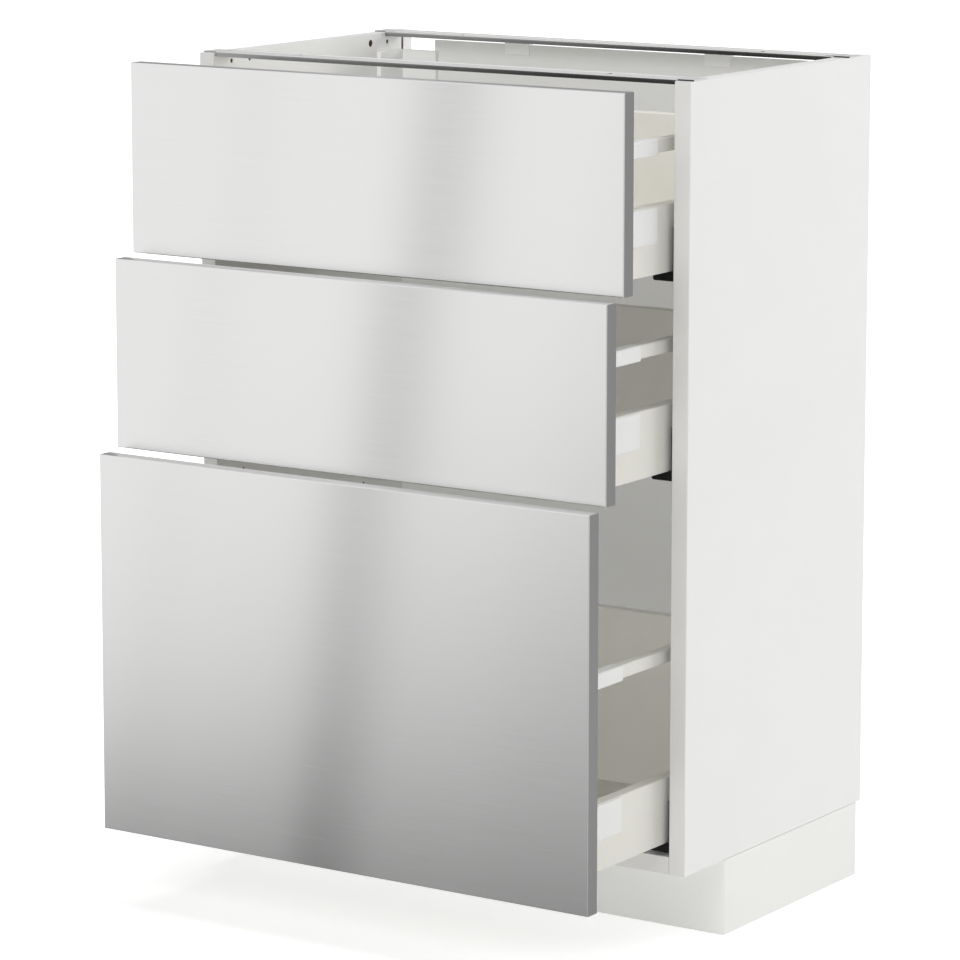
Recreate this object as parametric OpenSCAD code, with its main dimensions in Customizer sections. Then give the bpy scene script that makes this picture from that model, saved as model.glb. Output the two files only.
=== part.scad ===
// Kitchen base cabinet with three drawers, on four adjustable feet behind a plinth.
// The drawers are drawn partly open, the lowest one furthest. Their fronts are plain, with no handles.
// Lengths are in millimetres. The floor is at Z = 0 and the drawers open towards -Y.

/* [Carcass] */
// Width over both side panels
cabinet_w = 600; // [450:1:900]
// Depth of the side panels
carcass_d = 366; // [358:1:420]
// Height of the side panels
carcass_h = 800; // [720:1:900]
// Thickness of the side panels and the bottom panel
panel_t = 18; // [15:0.5:22]
// Thickness of the back panel
back_t = 4; // [3:0.1:6]
// From the rear edge of a side panel to the rear face of the back panel
back_inset = 15.8; // [14:0.1:20]
// From the top edge of a side panel down to the back panel
back_drop = 8; // [7:0.5:14]
// Depth of the grooves that hold the back panel
groove_depth = 8; // [5:0.5:10]
// Width of the notch in each top corner of the back panel
notch_w = 45; // [35:1:60]
// Height of the notch in each top corner of the back panel
notch_h = 64; // [50:1:75]

/* [Plinth and feet] */
// Height of the carcass above the floor
plinth_h = 80; // [78:1:150]
// From the carcass front back to the plinth front
plinth_setback = 80; // [50:1:95]
// Thickness of the plinth boards
plinth_t = 16; // [12:0.5:19]
// From the rear edge of a side panel to the end of a plinth return
return_inset = 9; // [0:1:30]
// Diameter of the disc that stands on the floor
foot_d = 48; // [40:1:54]
// Diameter of the foot's threaded stem
stem_d = 30; // [24:0.5:32]
// Outer diameter of the socket that holds the stem
socket_d = 38; // [36:0.5:42]
// Side of the square flange under the bottom panel
flange_w = 64; // [56:1:70]

/* [Fronts] */
// Height of the middle and the top drawer front
small_front_h = 197; // [180:1:215]
// Thickness of a drawer front
front_t = 17; // [16:0.5:22]
// Thickness of the steel skin round a front
skin_t = 0.4; // [0.3:0.05:0.8]
// Gap between two drawer fronts
front_gap = 3; // [2:0.5:5]
// From the outline of the carcass in to the fronts
front_edge_gap = 1.5; // [1:0.25:3]
// Air between a closed front and the carcass
front_air = 2; // [1.5:0.1:3]

/* [How far the drawers stand open] */
// Opening of the top drawer
top_open = 100; // [0:1:300]
// Opening of the middle drawer
middle_open = 130; // [0:1:300]
// Opening of the lowest drawer
bottom_open = 160; // [0:1:300]

/* [Top rails] */
// Width of a top rail
rail_w = 35; // [33:0.5:40]
// Thickness of the rail sheet
rail_t = 1.5; // [1.2:0.1:2]
// Depth of the lip along each long edge
rail_lip = 5; // [4:0.5:8]
// From the carcass front back to the front rail
rail_setback = 3; // [1:0.5:10]
// From the rear edge of a side panel to the rear rail
rear_rail_inset = 17; // [16.5:0.5:22]
// From the outer side of the carcass to a worktop screw slot
slot_inset = 110; // [60:1:160]
// Length of a worktop screw slot
slot_l = 12.5; // [8:0.5:16]
// Width of a worktop screw slot
slot_w = 5; // [4:0.5:6]
// Distance between the two back panel clips
clip_spacing = 254; // [120:1:300]

/* [Wall brackets] */
// Diameter of the wall screw hole
wall_hole_d = 9; // [6:0.5:12]
// From the inner face of a side panel to the wall screw hole
wall_hole_inset = 23; // [18:0.5:28]
// From the top edge of a side panel down to the wall screw hole
wall_hole_drop = 40; // [34:1:46]
// Thickness of the bracket steel
bracket_t = 2; // [1.5:0.1:3]

/* [Drawer boxes] */
// Height of a drawer side without its gallery rail
side_h = 68; // [64:1:80]
// Width of a drawer side
side_w = 14; // [13.5:0.1:16]
// Thickness of the drawer steel
side_sheet = 0.8; // [0.6:0.1:1.2]
// Gap between a side panel and a drawer side
side_gap = 6; // [5.5:0.1:10]
// How far a drawer side runs on behind its runner
side_tail = 12; // [4:1:24]
// Thickness of a drawer floor
floor_t = 12; // [8:1:16]
// From the bottom of a drawer side to the gallery rail's top, middle and top drawer
low_rail_top = 133; // [110:1:155]
// From the bottom of a drawer side to the gallery rail's top, lowest drawer
high_rail_top = 199; // [150:1:230]
// Width of a gallery rail
gallery_w = 10.6; // [9:0.1:12]
// Height of a gallery rail
gallery_h = 14; // [12:0.5:18]
// Length of a gallery holder
holder_l = 82; // [60:1:100]
// Depth of the folded back wall
back_wall_d = 12; // [10:0.5:14]

/* [Runners] */
// Length of a runner member
runner_l = 300; // [280:1:310]
// Height of the runner's wall flange
runner_flange_h = 54; // [45:1:58]
// Height of the runner's rib
rib_h = 38.6; // [32:0.1:39]
// Thickness of the cabinet runner sheet
runner_t = 1.5; // [1.2:0.1:2]
// Thickness of the sheet of the two moving members
member_t = 1; // [0.8:0.1:1.2]
// Length of a nylon glide
glide_l = 24; // [12:1:60]
// From the top of the bottom panel to the lowest runner
low_runner_lift = 3.5; // [1:0.5:10]
// From the bottom of a front to its runner, middle and top drawer
runner_lift = 0.5; // [0:0.5:6]

/* [Hidden] */
$fn = 48;

// How far a cut reaches past the face that it opens
over = 1;

// Colours of the materials
white_board = "#ebebea";
beech = "#d9b98a";
galvanised = "#b9bbba";
dark_zinc = "#8f9190";
stainless = "#cfcfcd";
drawer_white = "#e6e6e1";
black_plastic = "#26272a";
grey_plastic = "#9b9c9a";
white_plastic = "#f1f1ee";
front_backing = "#d2d1cd";

// Carcass
board_r = 0.8;
half_w = cabinet_w / 2;
inner_x = half_w - panel_t;
base_z = plinth_h;
deck_z = base_z + panel_t;
top_z = base_z + carcass_h;
groove_play = 0.2;
back_y = carcass_d - back_inset - back_t;
back_x = inner_x + groove_depth - groove_play;
back_bottom_z = deck_z - groove_depth + groove_play;
back_top_z = top_z - back_drop;
notch_x = inner_x - notch_w;
notch_z = back_top_z - notch_h;

// Rows of holes in the side panels
row_hole_d = 5;
row_hole_depth = 12;
row_pitch = 200;
first_row_z = 150;
lower_row_z = 99;
row_margin = 40;
front_column_y = 47;
rear_column_inset = 96;
top_hole_drop = 10;
cam_hole_d = 8;
top_hole_pitch = 32;
top_rear_inset = 47;
top_hole_ys = [top_hole_pitch, 2 * top_hole_pitch, carcass_d - top_rear_inset];
cam_hole_y = carcass_d - top_rear_inset - top_hole_pitch;

// Dowels between the side panels and the bottom panel
dowel_d = 8;
dowel_l = 30;
dowel_play = 0.1;
dowel_bite = 11;
dowel_inset = 60;

// Top rails. Their tabs lie on the side panels and hook into slots there.
rail_top_z = top_z + rail_t;
rail_play = 0.3;
rail_bend = 1.2;
land_w = 10.7;
rear_land_w = 3.4;
step_drop = 0.8;
step_run = 1.6;
tab_inset = 4;
tab_w = 25;
tab_root = 10;
tongue_w = 11;
tongue_l = 10;
tongue_inset = 8.5;
tongue_play = 0.2;
slot_y = 21.5;

// Clips between the back panel and the rear rail
clip_w = 32;
clip_wall = 1.4;
clip_grip = 11;
clip_bridge = 3;
clip_neck = 2.6;

// Wall brackets and their covers
bracket_play = 0.1;
bracket_arm = 46;
bracket_leg = 48;
cover_skin = 2;
cover_play = 0.2;
cover_h = 60;
cover_drop = 20;
cover_depth = 5;
cover_lap = 1.5;

// Plinth, sockets and feet
plinth_top_gap = 0.5;
leg_gap = 2;
leg_side_gap = 7;
leg_standoff = flange_w / 2 + leg_gap;
leg_side_standoff = flange_w / 2 + leg_side_gap;
leg_rear_inset = 54;
leg_x = half_w - plinth_t - leg_side_standoff;
leg_front_y = plinth_setback + plinth_t + leg_standoff;
leg_rear_y = carcass_d - leg_rear_inset;
flange_t = 4;
flange_r = 6;
socket_z = 30;
socket_roof = 2;
stem_play = 0.3;
stem_headroom = 4;
stem_wall = 4.5;
stem_bore_z = 12;
foot_disc_t = 6;
foot_edge = 1.5;
gusset_t = 2.4;
gusset_h = 18;
gusset_reach = 9;
clip_ring_t = 2.6;
clip_ring_h = 16;
clip_ring_z = 34;
clip_ring_play = 0.2;
clip_plate_w = 40;
clip_plate_t = 2;
clip_mouth = 26;
clip_neck_w = 14;

// Drawers. Index 0 is the lowest, 1 the middle and 2 the top drawer.
drawers = [0, 1, 2];
function front_z(i) = i == 0 ? base_z + front_edge_gap
    : top_z - front_edge_gap - small_front_h - (2 - i) * (small_front_h + front_gap);
function front_h(i) = i == 0 ? front_z(1) - front_gap - front_z(0) : small_front_h;
function opening(i) = [bottom_open, middle_open, top_open][i];
function runner_z(i) = i == 0 ? deck_z + low_runner_lift : front_z(i) + runner_lift;
function side_z(i) = runner_z(i) + side_lift;
function gallery_z(i) = side_z(i) + (i == 0 ? high_rail_top : low_rail_top);
front_x = half_w - front_edge_gap;
skin_bend = 1;
front_reach = front_air + front_t + max(top_open, middle_open, bottom_open);

// Drawer side, in the closed position
side_lift = 9.5;
side_outer_x = inner_x - side_gap;
side_inner_x = side_outer_x - side_w;
side_mid_x = (side_outer_x + side_inner_x) / 2;
side_bend = 1;
bracket_plate_t = 2;
side_y = bracket_plate_t - front_air;
side_l = runner_l + side_tail;
side_end_y = side_y + side_l;
floor_lift = 1.5;
floor_play = 0.5;
floor_flange_w = 12;
flange_play = 0.1;
face_play = 0.2;
back_wall_y = side_end_y - back_wall_d;
back_wall_play = 0.3;
back_wall_x = side_inner_x - back_wall_play;
back_wall_lip = 18;
back_wall_foot = 2;
back_wall_bend = 1.2;

// Front brackets and cover caps
bracket_plate_w = 13.6;
bracket_plate_bottom = 4;
bracket_plate_top = 66;
bracket_body_l = 60;
bracket_body_play = 0.6;
bracket_body_lift = 5.5;
bracket_body_h = 26;
front_bracket_r = 1;
peg_d = 8;
peg_l = 11;
peg_play = 0.1;
peg_heights = [19, 51];
cap_t = 0.8;
cap_l = 80;
cap_bottom = 31;
cap_top = 66.5;
cap_r = 2;
window_inset = 8;
window_l = 60;
window_h = 24;
window_play = 0.2;
boss_t = 1.1;

// Gallery rails and their holders
gallery_wall = 0.8;
gallery_r = 1.6;
gallery_overlap = 60;
pocket_play = 0.2;
holder_over = 0.4;
holder_under = 2;
holder_r = 2;
wedge_w = 6.5;
wedge_l = 40;
wedge_flat = 6;
post_play = 0.4;
post_inset = 1;
spigot_l = 15;
spigot_play = 0.2;

// Runner members, in the closed position
runner_y = 6;
runner_bend = 2;
member_bend = 1.2;
member_lead = 2;
slider_play = 0.2;
glide_gap = 1.6;
glide_top_gap = 1.8;
glide_play = 0.15;
glide_r = 0.6;
glide_bottom_gap = 1;
slider_x = [side_inner_x + side_sheet + slider_play, side_outer_x - side_sheet - slider_play];
mid_x = [slider_x[0] + member_t + glide_gap, slider_x[1] - member_t - glide_gap];
rib_x = side_mid_x;
rib_edges = [rib_x - runner_t / 2, rib_x + runner_t / 2];
mid_top = rib_h + glide_top_gap + member_t;
mid_bottom = 10;
mid_y = runner_y - member_lead;
slider_top = mid_top + glide_gap + member_t;
slider_bottom = 14;
slider_y = mid_y - member_lead;
slider_l = runner_l - member_lead;
runner_hole_d = 5.5;
pilot_d = 5;
pilot_depth = 12;
runner_hole_z = 37;
runner_hole_inset = 31;
runner_rear_hole_inset = 45;
runner_hole_ys = [runner_y + runner_hole_inset, runner_y + runner_l - runner_rear_hole_inset];

// Front guide and soft-close damper of a runner
guide_h = 9;
guide_face_t = 4;
guide_reach = 34;
guide_r = 2;
guide_inner_w = 11.5;
guide_strip_w = 2.3;
guide_strip_t = 3;
guide_play = 0.1;
guide_wall_gap = 1;
damper_w = 18;
damper_h = 8.5;
damper_l = 100;
damper_lift = 0.3;
damper_end_gap = 1;
damper_r = 1.5;
damper_rod_d = 2.6;
damper_rod_l = 42;

// Middle of the whole depth, so that the origin is under the centre
middle_y = (carcass_d - front_reach) / 2;

// Outline functions
function unit(v) = v / norm(v);
function left_of(v) = [-v[1], v[0]];
function reversed(list) = [for (i = [len(list) - 1:-1:0]) list[i]];
function arc(centre, r, from, to, n = 6) =
    [for (i = [0:n]) centre + r * [cos(from + (to - from) * i / n), sin(from + (to - from) * i / n)]];

// Rounded rectangle between two corners
function round_rect(low, high, r) = concat(
    arc([high[0] - r, high[1] - r], r, 0, 90), arc([low[0] + r, high[1] - r], r, 90, 180),
    arc([low[0] + r, low[1] + r], r, 180, 270), arc([high[0] - r, low[1] + r], r, 270, 360));

// Rectangle with its two corners at the low first coordinate rounded
function eased(low, high, r) = concat(arc([low[0] + r, high[1] - r], r, 90, 180, 4),
    arc([low[0] + r, low[1] + r], r, 180, 270, 4), [[high[0], low[1]], high]);
function swapped(list) = [for (p = reversed(list)) [p[1], p[0]]];

// Arc of radius r that rounds the corner p1 of a path from p0 to p2
function bend(p0, p1, p2, r, n) =
    let (a = unit(p0 - p1), b = unit(p2 - p1), half = acos(a * b) / 2,
        start = p1 + a * r / tan(half), end = p1 + b * r / tan(half),
        centre = p1 + unit(a + b) * r / sin(half),
        a0 = atan2(start[1] - centre[1], start[0] - centre[0]),
        a1 = atan2(end[1] - centre[1], end[0] - centre[0]),
        turn = (a1 - a0 + 540) % 360 - 180)
    arc(centre, r, a0, a0 + turn, n);
function bent(path, r, n = 4) = concat([path[0]],
    [for (i = [1:len(path) - 2]) each bend(path[i - 1], path[i], path[i + 1], r, n)],
    [path[len(path) - 1]]);

// A path moved sideways by d
function beside(p, d) = [for (i = [0:len(p) - 1])
    let (before = i > 0 ? unit(p[i] - p[i - 1]) : unit(p[1] - p[0]),
        after = i < len(p) - 1 ? unit(p[i + 1] - p[i]) : before,
        normal = left_of(unit(before + after)))
    p[i] + normal * d / (normal * left_of(before))];

// Section of a folded sheet of thickness t along a path, bent to the radius r
module sheet(path, t, r) {
    line = bent(path, r);
    polygon(concat(beside(line, t / 2), reversed(beside(line, -t / 2))));
}

// Extrusions of an XZ outline along Y and of a YZ outline along X
module along_y(y, l) {
    translate([0, y + l, 0]) rotate([90, 0, 0]) linear_extrude(l) children();
}
module along_x(x, l) {
    translate([x, 0, 0]) rotate([90, 0, 90]) linear_extrude(l) children();
}

// A box between two corners
module block(low, high) {
    translate(low) cube(high - low);
}

// Cylinders along X and along -Y from a point
module bore_x(point, d, l) {
    translate(point) rotate([0, 90, 0]) cylinder(d = d, h = l);
}
module bore_y(point, d, l) {
    translate(point) rotate([90, 0, 0]) cylinder(d = d, h = l);
}

// Placing: the whole cabinet, a left-hand copy, a drawer and the runner member that moves half as far
module cabinet() {
    translate([0, -middle_y, 0]) children();
}
module mirrored() {
    mirror([1, 0, 0]) children();
}
module both_sides() {
    children();
    mirrored() children();
}
module drawer(i) {
    cabinet() translate([0, -opening(i), 0]) children();
}
module half_way(i) {
    cabinet() translate([0, -opening(i) / 2, 0]) children();
}

// Panel with its groove, hook slots, screw pilots and rows of holes, right-hand side
module side_board() {
    difference() {
        translate([0, 0, base_z]) linear_extrude(carcass_h)
            polygon(swapped(eased([0, inner_x], [carcass_d, half_w], board_r)));
        block([inner_x - over, back_y - groove_play, deck_z - groove_depth],
            [inner_x + groove_depth, back_y + back_t + groove_play, top_z + over]);
        for (y = [rail_setback + tab_inset, carcass_d - rear_rail_inset - tab_inset - tab_w])
            hook_slot(y + tab_w / 2);
        for (i = drawers, y = runner_hole_ys)
            bore_x([inner_x - over, y, runner_z(i) + runner_hole_z], pilot_d, pilot_depth + over);
        panel_holes();
        bottom_dowels(dowel_play);
    }
}

// Slot in the top edge for the tongue of a rail tab
module hook_slot(y) {
    x = inner_x + tongue_inset;
    half = tongue_w / 2 + tongue_play;
    block([x - tongue_play, y - half, top_z - tongue_l - tongue_play],
        [x + rail_t + tongue_play, y + half, top_z + over]);
}

// Blind holes: two columns, the rear one doubled, and a row under the top edge
module panel_holes() {
    for (z = [first_row_z:row_pitch:carcass_h - row_margin]) {
        row_hole(front_column_y, base_z + z, row_hole_d);
        row_hole(carcass_d - rear_column_inset, base_z + z, row_hole_d);
    }
    for (z = [lower_row_z:row_pitch:carcass_h - row_margin])
        row_hole(carcass_d - rear_column_inset, base_z + z, row_hole_d);
    for (y = top_hole_ys) row_hole(y, top_z - top_hole_drop, row_hole_d);
    row_hole(cam_hole_y, top_z - top_hole_drop, cam_hole_d);
}
module row_hole(y, z, d) {
    bore_x([inner_x - over, y, z], d, row_hole_depth + over);
}

// Dowels in the joint of a side panel and the bottom panel, larger by the given play
module bottom_dowels(play = 0) {
    for (y = [dowel_inset, carcass_d - dowel_inset])
        bore_x([inner_x + dowel_bite - dowel_l - play, y, base_z + panel_t / 2],
            dowel_d + 2 * play, dowel_l + 2 * play);
}

module side_panel_right() {
    color(white_board) cabinet() side_board();
}
module side_panel_left() {
    color(white_board) cabinet() mirrored() side_board();
}
module carcass_dowels() {
    color(beech) cabinet() both_sides() bottom_dowels();
}

module bottom_panel() {
    color(white_board) cabinet() difference() {
        along_x(-inner_x, 2 * inner_x) polygon(eased([0, base_z], [carcass_d, deck_z], board_r));
        block([-inner_x - over, back_y - groove_play, deck_z - groove_depth],
            [inner_x + over, back_y + back_t + groove_play, deck_z + over]);
        both_sides() bottom_dowels(dowel_play);
    }
}

// Back panel with a notch in each top corner, where the wall screws pass
module back_panel() {
    right_edge = [[back_x, back_bottom_z], [back_x, notch_z], [notch_x, notch_z], [notch_x, back_top_z]];
    left_edge = [for (p = reversed(right_edge)) [-p[0], p[1]]];
    color(white_board) cabinet() along_y(back_y, back_t) polygon(concat(right_edge, left_edge));
}

// Pressed steel rail with two raised lands, its outward edge at Y = 0
module top_rail() {
    high = rail_top_z - rail_t / 2;
    low = high - step_drop;
    inner_land = rail_w - rear_land_w;
    section = [[rail_t / 2, rail_top_z - rail_lip], [rail_t / 2, high], [land_w, high],
        [land_w + step_run, low], [inner_land - step_run, low], [inner_land, high],
        [rail_w - rail_t / 2, high], [rail_w - rail_t / 2, rail_top_z - rail_lip]];
    difference() {
        along_x(rail_play - inner_x, 2 * (inner_x - rail_play)) sheet(section, rail_t, rail_bend);
        both_sides() worktop_slot();
    }
    both_sides() rail_tab();
}

// Slot for a screw up into the worktop
module worktop_slot() {
    straight = slot_l - slot_w;
    translate([half_w - slot_inset, slot_y, top_z - rail_lip]) {
        for (y = [-straight / 2, straight / 2])
            translate([0, y, 0]) cylinder(d = slot_w, h = 2 * rail_lip);
        translate([-slot_w / 2, -straight / 2, 0]) cube([slot_w, straight, 2 * rail_lip]);
    }
}

// Tab on the side panel's top edge, with the tongue that hooks into its slot
module rail_tab() {
    block([inner_x - tab_root, tab_inset, top_z], [half_w, tab_inset + tab_w, rail_top_z]);
    y = tab_inset + tab_w / 2;
    block([inner_x + tongue_inset, y - tongue_w / 2, top_z - tongue_l],
        [inner_x + tongue_inset + rail_t, y + tongue_w / 2, rail_top_z]);
}

module top_rail_front() {
    color(galvanised) cabinet() translate([0, rail_setback, 0]) top_rail();
}
module top_rail_rear() {
    color(galvanised) cabinet() translate([0, carcass_d - rear_rail_inset, 0]) mirror([0, 1, 0]) top_rail();
}

// Clip with a saddle on the back panel's top edge and a neck up to the rear rail
module back_panel_clips() {
    outer = [back_y - groove_play - clip_wall, back_y + back_t + groove_play + clip_wall];
    slot = [back_y - groove_play, back_y + back_t + groove_play];
    roof = back_top_z + groove_play;
    rail_under = top_z - step_drop - groove_play;
    section = [[outer[0], back_top_z - clip_grip], [slot[0], back_top_z - clip_grip], [slot[0], roof],
        [slot[1], roof], [slot[1], back_top_z - clip_grip], [outer[1], back_top_z - clip_grip],
        [outer[1], roof + clip_bridge], [outer[0] + clip_neck, roof + clip_bridge],
        [outer[0] + clip_neck, rail_under], [outer[0], rail_under]];
    color(white_plastic) cabinet() both_sides()
        along_x(clip_spacing / 2 - clip_w / 2, clip_w) polygon(section);
}

// Steel angle in each rear top corner, with the hole for the wall screw
module wall_brackets() {
    outer_x = inner_x - bracket_play;
    rear_y = back_y - bracket_play;
    low_z = top_z - cover_drop - cover_h + cover_skin;
    section = [[outer_x, rear_y - bracket_arm], [outer_x, rear_y], [outer_x - bracket_leg, rear_y],
        [outer_x - bracket_leg, rear_y - bracket_t], [outer_x - bracket_t, rear_y - bracket_t],
        [outer_x - bracket_t, rear_y - bracket_arm]];
    color(dark_zinc) cabinet() both_sides() difference() {
        translate([0, 0, low_z]) linear_extrude(cover_h - 2 * cover_skin) polygon(section);
        bore_y([inner_x - wall_hole_inset, rear_y + over, top_z - wall_hole_drop],
            wall_hole_d, bracket_t + 2 * over);
    }
}

// Plastic cover over each wall bracket
module bracket_covers() {
    outer_x = inner_x - bracket_play;
    rear_y = back_y - bracket_play;
    tip_x = outer_x - bracket_leg - cover_lap;
    tip_y = rear_y - bracket_arm - cover_lap;
    low_z = top_z - cover_drop - cover_h;
    color(white_plastic) cabinet() both_sides() difference() {
        cover_angle([tip_x, tip_y], [outer_x, rear_y], cover_depth + cover_play, low_z, cover_h);
        cover_angle([tip_x + cover_lap - cover_play, tip_y + cover_lap - cover_play],
            [outer_x + over, rear_y + over], cover_depth + cover_play - cover_skin + over,
            low_z + cover_skin - cover_play, cover_h - 2 * (cover_skin - cover_play));
    }
}

// Angle with its outer corner at high, each leg as thick as depth, ending at low
module cover_angle(low, high, depth, z, h) {
    translate([0, 0, z]) linear_extrude(h) polygon([[high[0], low[1]], high, [low[0], high[1]],
        [low[0], high[1] - depth], [high[0] - depth, high[1] - depth], [high[0] - depth, low[1]]]);
}

// Plinth boards, mitred at the corners
module plinth_front() {
    y = plinth_setback;
    back_x = half_w - plinth_t;
    back_y = y + plinth_t;
    color(white_board) cabinet() linear_extrude(plinth_h - plinth_top_gap)
        polygon([[-half_w, y], [half_w, y], [back_x, back_y], [-back_x, back_y]]);
}
module plinth_returns() {
    y = plinth_setback;
    end_y = carcass_d - return_inset;
    back_x = half_w - plinth_t;
    color(white_board) cabinet() both_sides() linear_extrude(plinth_h - plinth_top_gap)
        polygon([[half_w, y], [half_w, end_y], [back_x, end_y], [back_x, y + plinth_t]]);
}

// Snap clip on a socket, its plate against a board at the distance reach in +Y
module leg_clip(reach) {
    inner_r = socket_d / 2 + clip_ring_play;
    outer_r = inner_r + clip_ring_t;
    plate_y = reach - groove_play;
    translate([0, 0, clip_ring_z]) difference() {
        union() {
            cylinder(r = outer_r, h = clip_ring_h);
            block([-clip_neck_w / 2, 0, 0], [clip_neck_w / 2, plate_y - over / 2, clip_ring_h]);
            block([-clip_plate_w / 2, plate_y - clip_plate_t, 0], [clip_plate_w / 2, plate_y, clip_ring_h]);
        }
        translate([0, 0, -over]) cylinder(r = inner_r, h = clip_ring_h + 2 * over);
        block([-clip_mouth / 2, -outer_r - over, -over], [clip_mouth / 2, 0, clip_ring_h + over]);
    }
}
module plinth_clips() {
    color(grey_plastic) cabinet() both_sides() {
        translate([leg_x, leg_front_y, 0]) rotate(180) leg_clip(leg_standoff);
        translate([leg_x, leg_rear_y, 0]) rotate(-90) leg_clip(leg_side_standoff);
    }
}

// Flange and tube under the bottom panel, with gussets towards the corners
module socket() {
    flange_z = base_z - flange_t;
    difference() {
        union() {
            translate([0, 0, flange_z]) linear_extrude(flange_t)
                polygon(round_rect([-flange_w / 2, -flange_w / 2], [flange_w / 2, flange_w / 2], flange_r));
            translate([0, 0, socket_z]) cylinder(d = socket_d, h = flange_z - socket_z);
            for (a = [45:90:315]) rotate(a) translate([0, gusset_t / 2, flange_z]) rotate([90, 0, 0])
                linear_extrude(gusset_t) polygon([[socket_d / 2 - over, 0], [socket_d / 2 + gusset_reach, 0],
                    [socket_d / 2, -gusset_h], [socket_d / 2 - over, -gusset_h]]);
        }
        translate([0, 0, socket_z - over])
            cylinder(d = stem_d + 2 * stem_play, h = flange_z - socket_roof - socket_z + over);
    }
}
module leg_sockets() {
    color(black_plastic) cabinet() both_sides() for (y = [leg_front_y, leg_rear_y])
        translate([leg_x, y, 0]) socket();
}

// Foot: a disc with a chamfered rim and a hollow stem
module foot() {
    stem_top = base_z - flange_t - socket_roof - stem_headroom;
    foot_r = foot_d / 2;
    color(black_plastic) difference() {
        rotate_extrude() polygon([[0, 0], [foot_r - foot_edge, 0], [foot_r, foot_edge],
            [foot_r, foot_disc_t - foot_edge], [foot_r - foot_edge, foot_disc_t],
            [stem_d / 2, foot_disc_t], [stem_d / 2, stem_top], [0, stem_top]]);
        translate([0, 0, stem_bore_z]) cylinder(d = stem_d - 2 * stem_wall, h = stem_top);
    }
}
module foot_front_left() {
    cabinet() translate([-leg_x, leg_front_y, 0]) foot();
}
module foot_front_right() {
    cabinet() translate([leg_x, leg_front_y, 0]) foot();
}
module foot_rear_left() {
    cabinet() translate([-leg_x, leg_rear_y, 0]) foot();
}
module foot_rear_right() {
    cabinet() translate([leg_x, leg_rear_y, 0]) foot();
}

// Cabinet member of a runner: wall flange, web and the rib that carries the glides
module cabinet_runner(i) {
    z = runner_z(i);
    flange_x = inner_x - runner_t / 2;
    difference() {
        along_y(runner_y, runner_l) sheet([[flange_x, z + runner_flange_h], [flange_x, z + runner_t / 2],
            [rib_x, z + runner_t / 2], [rib_x, z + rib_h]], runner_t, runner_bend);
        for (y = runner_hole_ys)
            bore_x([inner_x - runner_t - over, y, z + runner_hole_z], runner_hole_d, runner_t + 2 * over);
    }
}
module cabinet_runners() {
    color(galvanised) cabinet() both_sides() for (i = drawers) cabinet_runner(i);
}

// Moulded guide on the front end of a cabinet member
module front_guide(i) {
    z = runner_z(i);
    wall_x = inner_x - guide_play;
    inner_edge = rib_x - guide_inner_w;
    front_y = runner_y - guide_face_t;
    strip_x = wall_x - guide_strip_w;
    along_y(front_y, guide_face_t - guide_play)
        polygon(round_rect([inner_edge, z], [wall_x, z + guide_h], guide_r));
    along_y(front_y + guide_face_t / 2, guide_reach) polygon(
        round_rect([inner_edge, z], [rib_edges[0] - guide_play, z + guide_h], guide_r));
    along_y(front_y + guide_face_t / 2, guide_reach) polygon(
        round_rect([rib_edges[1] + guide_play, z + runner_t + guide_play],
            [inner_x - runner_t - guide_wall_gap, z + guide_h], guide_r));
    block([strip_x, runner_y - guide_strip_t, z + guide_h / 2],
        [wall_x, runner_y - guide_play, z + runner_flange_h]);
}
module runner_front_guides() {
    color(black_plastic) cabinet() both_sides() for (i = drawers) front_guide(i);
}

// Soft-close damper beside the rib: a housing with its rod towards the front
module damper(i) {
    edge_x = rib_edges[0] - guide_play;
    low_z = runner_z(i) + damper_lift;
    end_y = runner_y + runner_l - damper_end_gap;
    along_y(end_y - damper_l, damper_l) polygon(
        round_rect([edge_x - damper_w, low_z], [edge_x, low_z + damper_h], damper_r));
    bore_y([edge_x - damper_w / 2, end_y - damper_l + over, low_z + damper_h / 2],
        damper_rod_d, damper_rod_l + over);
}
module soft_close_dampers() {
    color(grey_plastic) cabinet() both_sides() for (i = drawers) damper(i);
}

// Inverted channel between two X edges
module channel(x, bottom, top) {
    sheet([[x[0] + member_t / 2, bottom], [x[0] + member_t / 2, top - member_t / 2],
        [x[1] - member_t / 2, top - member_t / 2], [x[1] - member_t / 2, bottom]], member_t, member_bend);
}
module intermediate_runners(i) {
    z = runner_z(i);
    color(galvanised) half_way(i) both_sides() along_y(mid_y, runner_l)
        channel(mid_x, z + mid_bottom, z + mid_top);
}
module slider_runners(i) {
    z = runner_z(i);
    color(galvanised) drawer(i) both_sides() along_y(slider_y, slider_l)
        channel(slider_x, z + slider_bottom, z + slider_top);
}

// Saddle that fills the gap between an inner form and the channel over it
module saddle(inner, inner_top, outer, outer_top, bottom) {
    difference() {
        polygon(round_rect([outer[0] + glide_play, bottom],
            [outer[1] - glide_play, outer_top - glide_play], glide_r));
        translate([inner[0] - glide_play, bottom - over])
            square([inner[1] - inner[0] + 2 * glide_play, inner_top - bottom + over + glide_play]);
    }
}

// Nylon glides at both ends of an intermediate member, inside and outside it
module runner_glides(i) {
    z = runner_z(i);
    inside_x = [mid_x[0] + member_t, mid_x[1] - member_t];
    inside_low_z = z + mid_bottom + glide_bottom_gap;
    cover_x = [slider_x[0] + member_t, slider_x[1] - member_t];
    cover_low_z = z + slider_bottom + glide_bottom_gap;
    color(white_plastic) half_way(i) both_sides() for (y = [mid_y, mid_y + runner_l - glide_l])
        along_y(y, glide_l) {
            saddle(rib_edges, z + rib_h, inside_x, z + mid_top - member_t, inside_low_z);
            saddle(mid_x, z + mid_top, cover_x, z + slider_top - member_t, cover_low_z);
        }
}

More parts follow.
